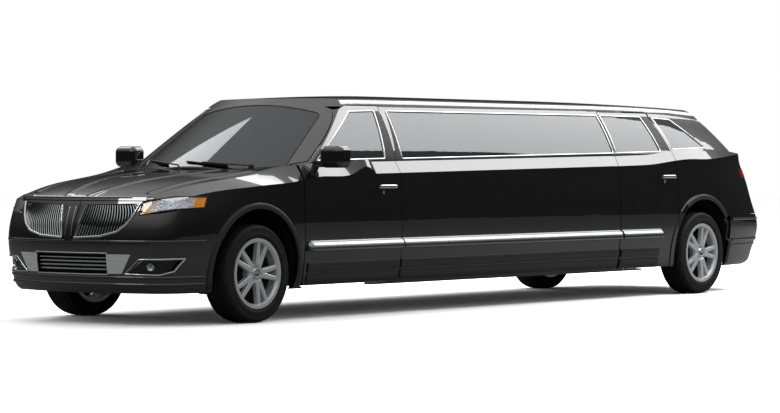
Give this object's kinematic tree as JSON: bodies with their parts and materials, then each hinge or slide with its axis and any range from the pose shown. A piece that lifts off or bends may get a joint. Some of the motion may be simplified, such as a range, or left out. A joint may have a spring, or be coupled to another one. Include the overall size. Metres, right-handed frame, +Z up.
{
  "type": "stretch limousine",
  "caption": "Stretch limousine on a lengthened tall-wagon body, with opening doors, hood and liftgate, steered front wheels and rolling wheels, and a furnished cabin.",
  "frame": {"origin": "on the ground, under the middle of the car's length and width", "axes": "+X towards the nose, +Y towards the car's left side, +Z up"},
  "size_m": [8.3344, 2.34, 1.7119],
  "materials": {
    "body_paint": "deep gloss black lacquer",
    "bright_trim": "polished chrome",
    "alloy": "polished alloy",
    "tyre": "matt black tread and sidewall",
    "window_glass": "dark privacy tint",
    "lamp_glass": "clear lens over bright reflectors",
    "tail_lamp_glass": "red lens",
    "liner": "grained black plastic",
    "cabin_plastic": "soft-touch black",
    "trim_board": "lacquered dark veneer",
    "leather": "black upholstery hide",
    "dark_steel": "black chassis coating",
    "cast_metal": "plain casting"
  },
  "bodies": {
    "body": {"floor_pan": "dark_steel", "engine_block": "cast_metal", "wheel_housings": "liner", "front_fenders": "body_paint", "cowl": "liner", "front_bumper": "body_paint", "grille": "bright_trim", "lower_grille": "bright_trim", "headlamps": "lamp_glass", "fog_lamps": "lamp_glass", "windscreen": "window_glass", "roof": "body_paint", "side_panels": "body_paint", "side_glass": "window_glass", "quarter_panels": "body_paint", "quarter_glass": "window_glass", "rear_bumper": "body_paint", "partition": "trim_board", "front_seats": "leather", "lounge_bench": "leather", "rear_bench": "leather", "dashboard": "liner", "front_axle": "dark_steel", "rear_axle": "dark_steel"},
    "front_door_left": {"front_door_left": "body_paint", "front_door_glass_left": "window_glass", "front_handle_left": "bright_trim", "mirror_left": "body_paint"},
    "front_door_right": {"front_door_right": "body_paint", "front_door_glass_right": "window_glass", "front_handle_right": "bright_trim", "mirror_right": "body_paint"},
    "rear_door_left": {"rear_door_left": "body_paint", "rear_door_glass_left": "window_glass", "rear_handle_left": "bright_trim"},
    "rear_door_right": {"rear_door_right": "body_paint", "rear_door_glass_right": "window_glass", "rear_handle_right": "bright_trim"},
    "hood": {"hood": "body_paint"},
    "liftgate": {"liftgate": "body_paint", "liftgate_glass": "window_glass", "tail_lamps": "tail_lamp_glass"},
    "knuckle_left": {"knuckle_left": "dark_steel"},
    "knuckle_right": {"knuckle_right": "dark_steel"},
    "front_wheel_left": {"front_rim_left": "alloy", "front_tyre_left": "tyre"},
    "front_wheel_right": {"front_rim_right": "alloy", "front_tyre_right": "tyre"},
    "rear_wheel_left": {"rear_rim_left": "alloy", "rear_tyre_left": "tyre"},
    "rear_wheel_right": {"rear_rim_right": "alloy", "rear_tyre_right": "tyre"},
    "steering_wheel": {"steering_wheel": "cabin_plastic"}
  },
  "joints": [
    {"name": "front_door_left_hinge", "type": "hinge", "parent": "body", "child": "front_door_left", "pos_m": [2.5455, 0.938, 0.7], "axis": [0, 0, -1], "range_deg": [0, 65]},
    {"name": "front_door_right_hinge", "type": "hinge", "parent": "body", "child": "front_door_right", "pos_m": [2.5455, -0.938, 0.7], "axis": [0, 0, 1], "range_deg": [0, 65]},
    {"name": "rear_door_left_hinge", "type": "hinge", "parent": "body", "child": "rear_door_left", "pos_m": [-1.6645, 0.938, 0.7], "axis": [0, 0, -1], "range_deg": [0, 68]},
    {"name": "rear_door_right_hinge", "type": "hinge", "parent": "body", "child": "rear_door_right", "pos_m": [-1.6645, -0.938, 0.7], "axis": [0, 0, 1], "range_deg": [0, 68]},
    {"name": "hood_hinge", "type": "hinge", "parent": "body", "child": "hood", "pos_m": [2.7155, 0, 1.085], "axis": [0, -1, 0], "range_deg": [0, 55]},
    {"name": "liftgate_hinge", "type": "hinge", "parent": "body", "child": "liftgate", "pos_m": [-3.2455, 0, 1.64], "axis": [0, 1, 0], "range_deg": [0, 80]},
    {"name": "steering_left", "type": "hinge", "parent": "body", "child": "knuckle_left", "pos_m": [3.1355, 0.69, 0.364], "axis": [0, 0, 1], "range_deg": [-33, 33]},
    {"name": "steering_right", "type": "hinge", "parent": "body", "child": "knuckle_right", "pos_m": [3.1355, -0.69, 0.364], "axis": [0, 0, 1], "range_deg": [-33, 33]},
    {"name": "front_wheel_left_spin", "type": "hinge", "parent": "knuckle_left", "child": "front_wheel_left", "pos_m": [3.1355, 0.825, 0.364], "axis": [0, 1, 0], "continuous": true},
    {"name": "front_wheel_right_spin", "type": "hinge", "parent": "knuckle_right", "child": "front_wheel_right", "pos_m": [3.1355, -0.825, 0.364], "axis": [0, 1, 0], "continuous": true},
    {"name": "rear_wheel_left_spin", "type": "hinge", "parent": "body", "child": "rear_wheel_left", "pos_m": [-2.9075, 0.825, 0.364], "axis": [0, 1, 0], "continuous": true},
    {"name": "rear_wheel_right_spin", "type": "hinge", "parent": "body", "child": "rear_wheel_right", "pos_m": [-2.9075, -0.825, 0.364], "axis": [0, 1, 0], "continuous": true},
    {"name": "steering_column", "type": "hinge", "parent": "body", "child": "steering_wheel", "pos_m": [2.1255, 0.38, 0.96], "axis": [-0.9063, 0, 0.4226], "range_deg": [-495, 495]}
  ],
  "couplings": [
    {"joint": "steering_right", "follows": "steering_left", "ratio": 1},
    {"joint": "steering_column", "follows": "steering_left", "ratio": 15}
  ]
}
